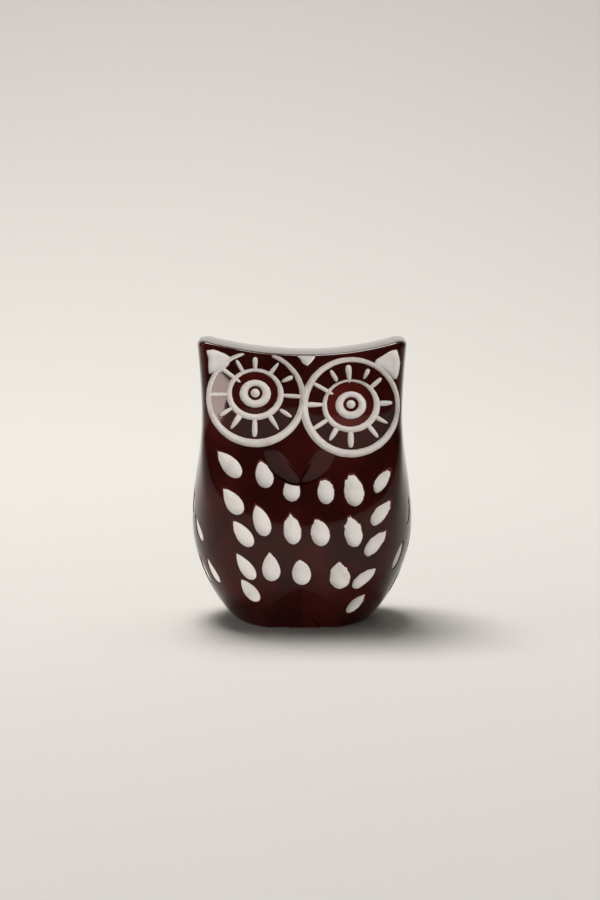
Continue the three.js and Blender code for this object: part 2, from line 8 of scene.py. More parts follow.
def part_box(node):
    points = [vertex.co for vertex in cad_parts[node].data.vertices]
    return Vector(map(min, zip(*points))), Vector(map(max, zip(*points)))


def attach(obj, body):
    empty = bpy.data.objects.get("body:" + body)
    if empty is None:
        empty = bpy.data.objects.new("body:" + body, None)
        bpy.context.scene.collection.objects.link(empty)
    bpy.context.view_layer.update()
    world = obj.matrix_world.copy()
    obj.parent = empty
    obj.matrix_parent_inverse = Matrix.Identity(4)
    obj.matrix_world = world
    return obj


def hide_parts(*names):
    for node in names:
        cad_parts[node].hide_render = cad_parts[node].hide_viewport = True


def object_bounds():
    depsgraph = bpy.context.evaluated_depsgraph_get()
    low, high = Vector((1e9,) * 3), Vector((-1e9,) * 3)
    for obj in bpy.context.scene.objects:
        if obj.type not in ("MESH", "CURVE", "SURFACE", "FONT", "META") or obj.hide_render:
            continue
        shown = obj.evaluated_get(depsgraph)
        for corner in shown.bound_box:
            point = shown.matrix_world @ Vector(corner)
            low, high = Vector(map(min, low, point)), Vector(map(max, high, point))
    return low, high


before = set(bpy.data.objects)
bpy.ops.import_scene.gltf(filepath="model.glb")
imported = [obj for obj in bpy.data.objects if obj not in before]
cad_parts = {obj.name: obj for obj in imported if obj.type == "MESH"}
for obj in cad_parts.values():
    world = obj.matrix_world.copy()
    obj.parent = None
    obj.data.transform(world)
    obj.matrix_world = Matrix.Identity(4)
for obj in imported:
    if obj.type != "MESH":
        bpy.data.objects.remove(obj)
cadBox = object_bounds()

# The owl stands on z = 0 and faces -Y. Sizes below are in millimetres.
mm = 0.001


def middleOf(node):
    low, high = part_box(node)
    return [(a + b) / 2 / mm for a, b in zip(low, high)]


wholeWidth, wholeDepth, wholeHeight = [(b - a) / mm for a, b in zip(*cadBox)]
rng = np.random.default_rng(7)


# Body: a block that swells from base to belly and is drawn in again under the ears. Widths and
# depths are shares of the whole. Front and back are broad panels that meet the rounder flanks
# along a soft edge, which is in from the widest point by its inset.
body = {
    "bellyHeight": 18.0,
    "waistHeight": 36.5,
    "crownHeight": wholeHeight - 2.2,
    "widths": {"base": 0.578, "belly": 1.0, "waist": 0.908, "crown": 0.949, "swell": 0.71},
    "depths": {"base": 0.815, "belly": 1.0, "waist": 0.845, "crown": 0.809, "swell": 1.1},
    "inset": {"base": 2.5, "belly": 4.9, "head": 0.7},
    "bulge": {"base": 13.0, "belly": 30.0, "head": 70.0},  # half the width at which a panel would close
    "panelFrom": 14.0,
    "panelTo": 34.0,
    "panelFull": 10.0,
    "crispness": 14.0,
    "earRise": 2.2,
    "earSpread": 16.6,
    "hollowX": 1.0,
    "crownCamber": 0.25,
    "crownFall": 0.8,  # how much lower the crown's back edge is than its front edge
    "crownRound": 0.6,
    "baseRound": 0.5,
    "columns": 360,
    "gather": 0.54945,  # how much closer the columns stand at an edge
    "rows": 230,
    "handWave": 0.035,  # depth of the waves that hand carving leaves
    "film": 0.14,  # lacquer thickness
    "clearance": 0.02,  # between the film and the block
    "filmLift": 0.03,  # film's lower edge above the floor
}


def smoothstep(x, low, high):
    t = np.clip((x - low) / (high - low), 0, 1)
    return t * t * (3 - 2 * t)


def mix(a, b, t):
    return a + (b - a) * t


def halfSpan(shares, whole, z):
    z = np.maximum(z, 0.0)
    belly, waist, crown = body["bellyHeight"], body["waistHeight"], body["crownHeight"]
    swell = np.sin(np.pi / 2 * np.clip(z / belly, 0, 1)) ** shares["swell"]
    low = mix(shares["base"], shares["belly"], swell)
    middle = mix(shares["belly"], shares["waist"], smoothstep(z, belly, waist))
    rise = np.maximum((z - waist) / (crown - waist), 0)
    high = mix(shares["waist"], shares["crown"], rise * rise)
    return np.where(z < belly, low, np.where(z < waist, middle, high)) * whole / 2


def halfWidth(z):
    return halfSpan(body["widths"], wholeWidth, z)


def halfDepth(z):
    return halfSpan(body["depths"], wholeDepth, z)


# The section at a level: half its width and depth, the place of its edge, and the two ellipses
# that are rounded into each other.
def sectionAt(z):
    inset, bulge, crisp = body["inset"], body["bulge"], body["crispness"]
    a, b = halfWidth(z), halfDepth(z)
    low, up = smoothstep(z, 0, body["panelFull"]), smoothstep(z, body["panelFrom"], body["panelTo"])
    edgeX = a - mix(mix(inset["base"], inset["belly"], low), inset["head"], up)
    panelA = mix(mix(bulge["base"], bulge["belly"], low), bulge["head"], up)
    edgeY = b * np.sqrt(1 - (edgeX / panelA) ** 2)
    flankB = edgeY / np.sqrt(1 - (edgeX / a) ** 2)
    panelB = b / (1 - (b / flankB) ** crisp) ** (1 / crisp)
    flankA = a / (1 - (a / panelA) ** crisp) ** (1 / crisp)
    edge = {"edgeX": edgeX, "edgeY": edgeY}
    return {"a": a, "b": b, **edge, "panel": (panelA, panelB), "flank": (flankA, flankB)}


def gauge(section, x, y):  # 1 on the section's outline
    ellipses = (section["panel"], section["flank"])
    sides = [((x / rx) ** 2 + (y / ry) ** 2) ** (body["crispness"] / 2) for rx, ry in ellipses]
    return sum(sides) ** (1 / body["crispness"])


def reachOf(far, insideAt):  # how far out the outline is, found by halving
    low, high = 0 * far, far
    for _ in range(26):
        middle = (low + high) / 2
        inside = insideAt(middle)
        low, high = np.where(inside, middle, low), np.where(inside, high, middle)
    return (low + high) / 2


def halfDepthAt(x, level):
    section = sectionAt(level)
    off = np.minimum(np.abs(x), 0.995 * section["a"])
    return reachOf(section["b"] + 0 * off, lambda y: gauge(section, off, y) < 1)


def headShare(level):
    return np.clip((level - body["waistHeight"]) / (body["crownHeight"] - body["waistHeight"]), 0, 1)


def earLift(x, level):
    share = headShare(level)
    spread = body["earSpread"]
    lift = ((x - body["hollowX"] * (1 - np.abs(x) / spread)) / spread) ** 2
    return body["earRise"] * np.minimum(lift, 1) * share * share


def levelAt(x, z):
    level = z
    for _ in range(6):
        level = z - earLift(x, level)
    return level


# Eyes. Rings are the bands between two ellipses: x offset, z offset, x radius, z radius.
# A spoke is clock angle, bridge at its inner end, bridge at its outer end, width, and how much
# wider it is at the outer end. A bridge below zero means that the spoke runs into the ring.
through = -0.7
leftMiddle = middleOf("left_eye_pupil_ring")
rightMiddle = middleOf("right_eye_pupil_ring")
leftEye = {
    "x": leftMiddle[0],
    "z": leftMiddle[2],
    "dome": 0.9,
    "domeRadius": 7.9,
    "outer": ((0, -0.72, 7.62, 7.25), (0.05, -1.08, 8.62, 8.3), 0.95),
    "inner": ((-0.05, 0, 3.93, 3.62), (-0.05, -0.25, 4.98, 4.47), 0.8),
    "disc": ((0, 0, 1.21, 1.18), (0, -0.12, 2.73, 2.42), 0.7),
    "dot": (0.86, 0.82, 0.5),
    "open": (-26, 0, 17, 24),  # clock angles where the outer ring starts to run out, is gone, is back
    "spokes": [
        (0, through, 0.3, 0.85, 0.35),
        (38, through, 0.15, 0.72, -0.35),
        (67, 0.12, 0.15, 0.8, 0.25),
        (95, through, through, 0.75, 0.1),
        (124, 0.1, 0.3, 0.75, -0.1),
        (148, through, 0.3, 0.78, -0.45),
        (181, through, 0.22, 0.95, 0.15),
        (214, through, 0.3, 0.95, -0.4),
        (237, through, 0.45, 0.75, 0.3),
        (267, through, through, 0.72, 0.1),
        (306, -1.7, through, 0.75, 0.1),
        (330, through, 0.12, 0.7, 0.0),
    ],
}
rightEye = {
    "x": rightMiddle[0],
    "z": rightMiddle[2],
    "dome": 0.95,
    "domeRadius": 7.8,
    "outer": ((0.15, -0.36, 7.5, 7.5), (0, -0.6, 8.66, 8.6), 0.95),
    "inner": ((-0.1, 0, 4.0, 3.85), (0.05, -0.32, 5.0, 4.6), 0.8),
    "disc": ((0, 0, 1.28, 1.22), (0, -0.18, 2.68, 2.42), 0.7),
    "dot": (0.84, 0.8, 0.5),
    "spokes": [
        (356, through, 0.3, 1.0, 0.4),
        (27, 0.35, 0.45, 0.75, 0.3),
        (50, through, 0.4, 0.8, 0.0),
        (89, through, 0.35, 0.95, -0.15),
        (118, through, 0.5, 0.75, -0.35),
        (141, through, 0.25, 0.85, -0.2),
        (180, through, 0.2, 1.1, 0.05),
        (210, -0.6, 0.35, 0.95, -0.25),
        (236, through, through, 0.8, 0.0),
        (269, through, through, 0.85, 0.35),
        (299, -1.3, through, 0.72, 0.0),
        (329, 0.15, 0.3, 0.8, -0.1),
    ],
}
eyes = (leftEye, rightEye)


def domes(x, z):
    out = 0 * x
    for eye in eyes:
        r = np.hypot(x - eye["x"], z - eye["z"]) / eye["domeRadius"]
        out = out + eye["dome"] * np.maximum(1 - r * r, 0)
    return out


def frontY(x, z):
    return -halfDepthAt(x, levelAt(x, z)) - domes(x, z)


def backY(x, z):
    return halfDepthAt(x, levelAt(x, z))


def flankX(y, z):
    section = sectionAt(z)
    off = np.minimum(np.abs(y), 0.995 * section["b"])
    return reachOf(section["a"] + 0 * off, lambda x: gauge(section, x, off) < 1)


# Each face lays flat cutters on the body: u across, v up, w out of the surface.
faces = {
    "front": lambda u, v: np.stack([u, frontY(u, v), v], -1),
    "back": lambda u, v: np.stack([-u, backY(-u, v), v], -1),
    "left": lambda u, v: np.stack([-flankX(-u, v), -u, v], -1),
    "right": lambda u, v: np.stack([flankX(u, v), u, v], -1),
}


def layOn(face, flat):
    u, v, w = flat[..., 0], flat[..., 1], flat[..., 2]
    at = faces[face]
    step = 0.05
    du = at(u + step, v) - at(u - step, v)
    dv = at(u, v + step) - at(u, v - step)
    out = np.cross(du, dv)
    out /= np.linalg.norm(out, axis=-1, keepdims=True)
    return at(u, v) + out * w[..., None]


print("stage: shape of the body set from the frame")


# Material places on every carved mesh: bare block, lacquer's edge, lacquer, lacquer on chisel cuts
pale, cut, dark, facet = 0, 1, 2, 3


def gridQuads(rows, columns):
    # quads of a grid that closes around its columns
    i, j = np.meshgrid(np.arange(rows - 1), np.arange(columns), indexing="ij")
    k = (j + 1) % columns
    row, below = i * columns, (i + 1) * columns
    return np.stack([row + j, below + j, below + k, row + k], -1).reshape(-1, 4)


def newPiece(name, points, polygons, place):
    mesh = bpy.data.meshes.new(name)
    mesh.from_pydata([tuple(p) for p in points * mm], [], [tuple(int(i) for i in f) for f in polygons])
    mesh.update()
    piece = bpy.data.objects.new(name, mesh)
    bpy.context.scene.collection.objects.link(piece)
    for finish in finishes:
        mesh.materials.append(finish)
    mesh.polygons.foreach_set("material_index", np.full(len(mesh.polygons), place, dtype=np.int32))
    return piece


def volumeOf(points, polygons):
    total = 0.0
    for k in range(1, polygons.shape[1] - 1):
        a, b, c = points[polygons[:, 0]], points[polygons[:, k]], points[polygons[:, k + 1]]
        total += np.einsum("ij,ij->i", a, np.cross(b, c)).sum() / 6
    return total


# A closed skin from a grid of rows and columns. Without ends, its rows close on themselves too.
def skin(name, grid, place, ends=None):
    rows, columns = grid.shape[:2]
    points = grid.reshape(-1, 3)
    if ends is None:
        quads = gridQuads(rows + 1, columns) % (rows * columns)
        fans = np.empty((0, 3), dtype=int)
    else:
        quads = gridQuads(rows, columns)
        points = np.vstack([points, ends[0], ends[1]])
        j = np.arange(columns)
        k = (j + 1) % columns
        first, last = rows * columns, rows * columns + 1
        low = (rows - 1) * columns
        nearFan = np.stack([first + 0 * j, j, k], -1)
        farFan = np.stack([last + 0 * j, low + k, low + j], -1)
        fans = np.vstack([nearFan, farFan])
    if volumeOf(points, quads) + (volumeOf(points, fans) if len(fans) else 0) < 0:
        quads, fans = quads[:, ::-1], fans[:, ::-1]
    return newPiece(name, points, [*quads, *fans], place)


def carve(piece, tool, how="DIFFERENCE"):
    change = piece.modifiers.new("carve", "BOOLEAN")
    change.operation = how
    change.solver = "MANIFOLD"
    change.object = tool
    bpy.context.view_layer.update()
    seen = piece.evaluated_get(bpy.context.evaluated_depsgraph_get())
    mesh = bpy.data.meshes.new_from_object(seen)
    old = piece.data
    piece.modifiers.clear()
    piece.data = mesh
    bpy.data.meshes.remove(old)
    return piece


def discard(*pieces):
    for piece in pieces:
        mesh = piece.data
        bpy.data.objects.remove(piece)
        bpy.data.meshes.remove(mesh)


class Wire:  # a node's output, which takes part in sums
    def __init__(self, tree, socket):
        self.tree = tree
        self.socket = socket

    def sum(self, operation, first, second):
        return makeNode(self.tree, "ShaderNodeMath", {"operation": operation}, {0: first, 1: second})

    def __add__(self, other):
        return self.sum("ADD", self, other)

    def __sub__(self, other):
        return self.sum("SUBTRACT", self, other)

    def __rsub__(self, other):
        return self.sum("SUBTRACT", other, self)

    def __mul__(self, other):
        return self.sum("MULTIPLY", self, other)

    __radd__ = __add__
    __rmul__ = __mul__


# Adds a node: its type, its settings, which are set first, then the values or links of its sockets
def makeNode(tree, kind, settings, sockets, out=0):
    node = tree.nodes.new(kind)
    for key, value in settings.items():
        setattr(node, key, value)
    for key, value in sockets.items():
        if isinstance(value, Wire):
            tree.links.new(value.socket, node.inputs[key])
        else:
            node.inputs[key].default_value = value
    return Wire(tree, node.outputs[out]) if len(node.outputs) else None


def newFinish(name):
    finish = bpy.data.materials.new(name)
    finish.use_nodes = True
    finish.node_tree.nodes.clear()
    place = makeNode(finish.node_tree, "ShaderNodeTexCoord", {}, {}, out=3)
    return finish, finish.node_tree, place


def noiseAt(tree, place, scale, detail, **more):
    sockets = {"Vector": place, "Scale": scale, "Detail": detail, **more}
    return makeNode(tree, "ShaderNodeTexNoise", {}, sockets)


def bumpFrom(tree, height, strength, distance):
    sockets = {"Strength": strength, "Distance": distance, "Height": height}
    return makeNode(tree, "ShaderNodeBump", {}, sockets)


def coverWith(tree, **sockets):  # the finish's shader, with spaces in the sockets' names
    named = {key.replace("_", " "): value for key, value in sockets.items()}
    shader = makeNode(tree, "ShaderNodeBsdfPrincipled", {}, named)
    makeNode(tree, "ShaderNodeOutputMaterial", {}, {"Surface": shader})


def mixColour(tree, share, first, second):
    return makeNode(tree, "ShaderNodeMix", {"data_type": "RGBA"}, {0: share, 6: first, 7: second}, out=2)


def spread(tree, wire, low, high):
    sockets = {"Value": wire, "From Min": low, "From Max": high}
    return makeNode(tree, "ShaderNodeMapRange", {"interpolation_type": "SMOOTHSTEP"}, sockets)


lacquer = {
    "deep": (0.024, 0.0032, 0.0028, 1),
    "warm": (0.052, 0.0065, 0.0048, 1),
    "eyeDeep": (0.045, 0.0055, 0.004, 1),  # a thinner film inside the eyes lets more red through
    "eyeWarm": (0.13, 0.015, 0.010, 1),
    "thin": (0.09, 0.016, 0.012, 1),  # where the film is cut through
    "poolScale": 110.0,  # patches where the film is thicker or thinner
    "poolSpread": (0.38, 0.75),
    "gloss": 1.33,  # index of refraction
    "roughness": 0.07,
    "haze": 0.06,  # more roughness in rubbed patches
    "rubbedScale": 420.0,
    "rubbedSpread": (0.45, 0.72),
    "peelScale": 800.0,  # faint orange peel
    "peel": 0.018,
    "peelHeight": 0.0002,
    "dust": 0.25,
    "dustTone": (0.16, 0.11, 0.10, 1),
    "dustScale": 5200.0,
    "dustSpread": (0.72, 0.8),
    "dustHaze": 0.2,
    "scratchTurn": (0.3, 0.5, 0.2),
    "scratchScale": (2600.0, 2600.0, 90.0),
    "scratchSpread": (0.66, 0.72),
    "scratchHeight": 0.15,
    "scratch": 0.03,
}


def lacquerFinish(name, deep, warm):
    finish, tree, place = newFinish(name)
    pool = noiseAt(tree, place, lacquer["poolScale"], 3.0)
    rubbed = noiseAt(tree, place, lacquer["rubbedScale"], 6.0, Roughness=0.65)
    fleck = noiseAt(tree, place, lacquer["dustScale"], 2.0)
    peel = noiseAt(tree, place, lacquer["peelScale"], 2.0)
    stretch = {"Vector": place, "Rotation": lacquer["scratchTurn"], "Scale": lacquer["scratchScale"]}
    streaks = makeNode(tree, "ShaderNodeMapping", {}, stretch)
    scratch = spread(tree, noiseAt(tree, streaks, 1.0, 1.0), *lacquer["scratchSpread"])
    dust = spread(tree, fleck, *lacquer["dustSpread"]) * lacquer["dust"]
    colour = mixColour(tree, spread(tree, pool, *lacquer["poolSpread"]), deep, warm)
    colour = mixColour(tree, dust, colour, lacquer["dustTone"])
    height = peel + lacquer["scratchHeight"] * scratch
    haze = lacquer["haze"] * spread(tree, rubbed, *lacquer["rubbedSpread"])
    roughness = lacquer["roughness"] + haze + lacquer["dustHaze"] * dust + lacquer["scratch"] * scratch
    bump = bumpFrom(tree, height, lacquer["peel"], lacquer["peelHeight"])
    coverWith(tree, Base_Color=colour, Roughness=roughness, IOR=lacquer["gloss"], Normal=bump)
    return finish


bareBlock = {
    "clean": (0.86, 0.81, 0.775, 1),
    "dusty": (0.56, 0.48, 0.44, 1),
    "stainScale": 330.0,
    "stainSpread": (0.5, 0.85),
    "stain": 0.5,
    "speckScale": 2600.0,
    "speckSpread": (0.62, 0.8),
    "speck": 0.25,
    "roughness": 0.42,
    "chalk": 0.15,  # more roughness in specks
    "chalkSpread": (0.3, 0.7),
    "toolScale": 1500.0,  # fine marks of the carving tool
    "toolMarks": 0.25,
    "toolHeight": 0.0001,
    "glow": 0.12,  # share of light that passes under the surface
    "glowRadius": (0.8, 0.5, 0.4),
    "glowScale": 0.0006,
}


def blockFinish():
    finish, tree, place = newFinish("paleBlock")
    stain = spread(tree, noiseAt(tree, place, bareBlock["stainScale"], 5.0), *bareBlock["stainSpread"])
    fleck = noiseAt(tree, place, bareBlock["speckScale"], 3.0)
    speck = spread(tree, fleck, *bareBlock["speckSpread"])
    scrape = noiseAt(tree, place, bareBlock["toolScale"], 4.0)
    colour = mixColour(tree, stain * bareBlock["stain"], bareBlock["clean"], bareBlock["dusty"])
    colour = mixColour(tree, speck * bareBlock["speck"], colour, bareBlock["dusty"])
    chalk = bareBlock["chalk"] * spread(tree, fleck, *bareBlock["chalkSpread"])
    bump = bumpFrom(tree, scrape, bareBlock["toolMarks"], bareBlock["toolHeight"])
    coverWith(tree, Base_Color=colour, Roughness=bareBlock["roughness"] + chalk, IOR=1.5, Normal=bump,
              Subsurface_Weight=bareBlock["glow"], Subsurface_Radius=bareBlock["glowRadius"],
              Subsurface_Scale=bareBlock["glowScale"])
    return finish


darkFinish = lacquerFinish("darkLacquer", lacquer["deep"], lacquer["warm"])
eyeFinish = lacquerFinish("eyeLacquer", lacquer["eyeDeep"], lacquer["eyeWarm"])
edgeFinish = lacquerFinish("lacquerEdge", lacquer["thin"], lacquer["warm"])
paleFinish = blockFinish()
finishes = [paleFinish, edgeFinish, darkFinish, darkFinish]
print("stage: finishes made")


def bodySurface():
    levels = []  # scale, inset, level, on the crown
    crown, roundTop, roundBase = body["crownHeight"], body["crownRound"], body["baseRound"]
    capRows, arcRows = 24, 6
    for i in range(1, capRows):
        levels.append((i / capRows, roundTop, crown, 1))
    for i in range(arcRows + 1):
        turn = math.pi / 2 * i / arcRows
        inset, drop = roundTop * (1 - math.sin(turn)), roundTop * (1 - math.cos(turn))
        levels.append((1, inset, crown - drop, i == 0))
    for i in range(1, body["rows"]):
        levels.append((1, 0, mix(crown - roundTop, roundBase, i / body["rows"]), 0))
    for i in range(arcRows + 1):
        turn = math.pi / 2 * i / arcRows
        levels.append((1, roundBase * (1 - math.cos(turn)), roundBase * (1 - math.sin(turn)), 0))
    for scale in (0.66, 0.33):
        levels.append((scale, roundBase, 0, 0))
    scale, inset, level, cap = [np.array(c, dtype=float)[:, None] for c in zip(*levels)]
    section = sectionAt(level)
    corner = np.arctan2(section["edgeY"], section["edgeX"])
    # Columns follow the edges, and are closest there: 0 is the middle of a flank, 1 an edge and
    # 2 the middle of a panel.
    u = np.linspace(0, 8, body["columns"], endpoint=False)[None, :]
    u = u + body["gather"] / np.pi * np.sin(np.pi * u)
    part = u % 4
    part = np.where(part > 2, 4 - part, part)
    turn = np.where(part < 1, part * corner, corner + (part - 1) * (np.pi / 2 - corner))
    signX = np.where((u > 2) & (u < 6), -1, 1)
    signY = np.where(u > 4, -1, 1)
    reach = 1 / gauge(section, np.cos(turn), np.sin(turn))
    x = (1 - inset / section["a"]) * scale * reach * np.cos(turn) * signX
    y = (1 - inset / section["b"]) * scale * reach * np.sin(turn) * signY
    z = level + earLift(x, level) + cap * body["crownCamber"] * (1 - (y / halfDepth(level)) ** 2)
    z = z - body["crownFall"] * headShare(level) ** 2 * (y / halfDepth(level) + 1) / 2
    low = level < body["bellyHeight"]
    front = np.clip(-2 * y / halfDepth(level), 0, 1) * np.where(low, 0, scale ** 8)
    y = y - domes(x, z) * front
    grid = np.stack([x, y, z], -1)
    across = np.roll(grid, -1, 1) - np.roll(grid, 1, 1)
    down = np.gradient(grid, axis=0)
    out = np.cross(across, down)
    out /= np.maximum(np.linalg.norm(out, axis=-1, keepdims=True), 1e-9)
    if (out[40, :, :2] * grid[40, :, :2]).sum() < 0:
        out = -out
    points = [Vector(p) for p in grid.reshape(-1, 3)]
    wave = np.array([noise.noise(p * 0.16) + 0.35 * noise.noise(p * 0.5) for p in points])
    wave = wave.reshape(grid.shape[:2]) * body["handWave"] * smoothstep(grid[..., 2], 0.5, 2)
    grid = grid + out * wave[..., None]
    return grid, out


bodyGrid, bodyNormals = bodySurface()
crownMiddle = bodyGrid[0].mean(0)


# The body drawn in by a distance, with its base at a height.
def bodySolid(name, drawIn, baseAt=0.0):
    grid = bodyGrid - bodyNormals * drawIn
    onBase = bodyGrid[..., 2] < 1e-6
    grid[..., 2] = np.where(onBase, baseAt, grid[..., 2])
    ends = (crownMiddle - np.array([0, 0, drawIn]), np.array([0, 0, baseAt]))
    solid = skin(name, grid, dark, ends)
    feet = footCutter(drawIn)
    carve(solid, feet)
    hollow = scoopCutter(drawIn)
    carve(solid, hollow)
    discard(feet, hollow)
    return solid


# Everything in front of a plane, as a big block with one face on it, moved back by drawIn.
def inFrontOf(point, normal, drawIn):
    far = 60.0
    turn = Vector(normal).normalized().to_track_quat("Z", "Y").to_matrix()
    points = []
    for z in (-drawIn, far):
        for x, y in ((-far, -far), (far, -far), (far, far), (-far, far)):
            points.append(np.array(turn @ Vector((x, y, z))) + np.array(point))
    sides = [(0, 3, 2, 1), (4, 5, 6, 7), (0, 1, 5, 4), (1, 2, 6, 5), (2, 3, 7, 6), (3, 0, 4, 7)]
    return newPiece("slab", np.array(points), sides, facet)


def behind(point, normal, drawIn):
    return inFrontOf(point, [-n for n in normal], -drawIn)


def within(first, *others):  # what the first shares with all the others, which are used up
    for other in others:
        carve(first, other, "INTERSECT")
        discard(other)
    return first


# Two chisel facets under the belly, and the small toe left between them.
feet = {
    "apex": 7.6,
    "inset": 8.8,  # facets' middle in front of the origin at the base
    "splay": -7.0,  # degrees each facet is turned in towards the other
    "toeX": 0.4,
    "toeHeight": 3.1,
    "toeHalfWidth": 2.7,
    "toeLean": 12.0,
}


def footCutter(drawIn):
    overlap = 0.001  # of the two halves on the middle plane
    slope = (-float(frontY(0.0, feet["apex"])) - feet["inset"]) / feet["apex"]
    splay = math.tan(math.radians(feet["splay"]))
    halves = []
    for side in (-1, 1):
        half = inFrontOf((0, -feet["inset"], 0), (side * splay, -1, -slope), drawIn)
        halves.append(within(half, inFrontOf((0, 0, 0), (side, 0, 0), overlap)))
    carve(halves[0], halves[1], "UNION")
    tall, wide = feet["toeHeight"], feet["toeHalfWidth"]
    top = (feet["toeX"], -feet["inset"] - slope * tall, tall)
    toe = behind(top, (0, -1, -math.tan(math.radians(feet["toeLean"]))), drawIn)
    within(toe, behind(top, (-tall, 0, wide), drawIn), behind(top, (tall, 0, wide), drawIn))
    carve(halves[0], toe)
    discard(halves[1], toe)
    return halves[0]


# The scoop under the eyes has a flat floor and leaves the beak standing between soft sides.
scoop = {
    "x": -0.4,
    "z": 31.7,
    "radius": 6.1,
    "floorTop": 12.25,
    "floorTopZ": 34.0,
    "undercut": 3.0,
    "fadeFrom": 35.0,  # the scoop fades out between these heights
    "fadeTo": 34.0,
    "beakTip": (-0.2, 26.9),
    "beakHalfWidth": 3.5,
    "beakTop": 32.6,
    "beakLean": 0.1,  # how far its middle goes to the left as it rises
    "beakSoft": 0.8,  # width of its sides, and the same at its tip
    "tipSoft": 0.35,
    "tipTall": 3.0,
    "proud": 0.05,
    "rings": 40,
    "segments": 144,
}


def scoopDepth(x, z):
    floor = scoop["floorTop"] - (scoop["floorTopZ"] - z) * math.tan(math.radians(scoop["undercut"]))
    sunk = np.maximum(-frontY(x, z) - floor, 0) * smoothstep(z, scoop["fadeFrom"], scoop["fadeTo"])
    tipX, tipZ = scoop["beakTip"]
    tall = scoop["beakTop"] - tipZ
    long = math.hypot(tall, scoop["beakHalfWidth"])
    ridge = tipX - scoop["beakLean"] * (z - tipZ)
    beyond = (np.abs(x - ridge) * tall - (z - tipZ) * scoop["beakHalfWidth"]) / long
    soft = mix(scoop["tipSoft"], scoop["beakSoft"], smoothstep(z, tipZ, tipZ + scoop["tipTall"]))
    return sunk * smoothstep(beyond / soft, 0, 1)


# A cutter under an outline, which is a closed run of points about the middle. depthAt takes
# points and their share of the way out. Above the surface the cutter stands clear and flares.
def patchCutter(name, face, outline, middle, depthAt, rings, clear=0.7, flare=0.08, place=cut):
    share = np.linspace(0, 1, rings + 1)[1:]
    flat = middle + share[:, None, None] * (outline - middle)[None]
    depth = depthAt(flat, share[:, None] + 0 * flat[..., 0])  # one row a ring, one column a direction
    lower = np.concatenate([flat, -depth[..., None]], -1)
    over = middle + (1 + flare) * share[::-1][:, None, None] * (outline - middle)[None]
    upper = np.concatenate([over, clear + 0 * over[..., :1]], -1)
    grid = layOn(face, np.concatenate([lower, upper]))
    foot = float(np.ravel(depthAt(np.array([[middle]]), np.zeros((1, 1))))[0])
    ends = [layOn(face, np.array([*middle, w])) for w in (-foot, clear)]
    return skin(name, grid, place, ends)


def scoopCutter(drawIn):
    t = np.linspace(0, 2 * np.pi, scoop["segments"], endpoint=False)
    radius = scoop["radius"] + drawIn
    middle = np.array([scoop["x"], scoop["z"]])
    outline = middle + radius * np.stack([np.cos(t), np.sin(t)], -1)

    def depthAt(at, share):
        return scoopDepth(at[..., 0], at[..., 1]) + drawIn - scoop["proud"]

    rings = scoop["rings"]
    return patchCutter("scoop", "front", outline, middle, depthAt, rings, clear=1.2, flare=0.0, place=facet)


# Feather cuts: across and height of the middle, length, width, lean of the tip in degrees, how
# sharply the cut narrows to its tip, how far the tip is skewed to the right, and how chipped its
# edge is around the tip.
feather = {
    "depthShare": 0.27,  # of the width
    "deepest": 0.26,  # share of the length below the middle
    "wobble": 0.022,
    "chip": 0.56,
    "chipScale": 2.6,
    "chipFrom": 0.1,
    "chipMost": 0.34,
    "ramp": 1.25,  # long from the tip
    "steep": 1.9,  # and steeper at the round end
}
breast = [
    (-12.7, 29.2, 6.1, 2.95, -44, 0.6, 0.1, 0.4),
    (-12.2, 22.85, 5.75, 3.0, -40, 0.7, 0.25, 0.4),
    (-10.45, 17.25, 5.9, 2.75, -39, 0.7, 0.2, 0.4),
    (-10.0, 11.4, 6.0, 2.5, -37, 0.75, 0.2, 0.2),
    (-9.3, 7.0, 5.4, 2.45, -42, 0.6, 0.3, 0.2),
    (-6.45, 27.55, 5.0, 3.1, -10, 0.5, -0.25, 0.3),
    (-6.9, 19.7, 6.0, 3.05, -12, 0.55, -0.35, 0.3),
    (-5.4, 11.5, 5.55, 3.3, -6, 0.7, 0.0, 0.2),
    (-1.85, 25.1, 4.6, 3.05, -6, 0.55, 0.1, 0.7),
    (-1.65, 18.1, 5.45, 3.1, -5, 0.3, -0.1, 0.9),
    (-0.1, 10.55, 4.85, 3.4, -5, 0.35, -0.1, 0.2),
    (4.0, 24.6, 4.5, 3.0, -8, 0.2, 0.1, 1.1),
    (3.15, 17.5, 4.9, 3.35, -8, 0.15, -0.1, 1.2),
    (6.55, 9.9, 5.1, 3.6, -1, 0.5, -0.1, 1.5),
    (8.9, 24.8, 5.7, 3.5, -6, 0.3, -0.1, 1.1),
    (8.95, 17.55, 5.6, 3.1, -3, 0.25, -0.35, 1.8),
    (13.75, 26.4, 4.9, 2.2, 28, 0.15, 0.3, 1.5),
    (13.6, 20.85, 5.5, 2.4, 33, 0.3, 0.35, 1.2),
    (12.75, 15.55, 5.9, 2.4, 37, 0.35, 0.35, 1.2),
    (10.85, 9.4, 5.7, 2.15, 46, 0.45, 0.4, 1.2),
    (9.6, 4.4, 4.9, 2.0, 48, 0.4, -0.3, 0.8),
]
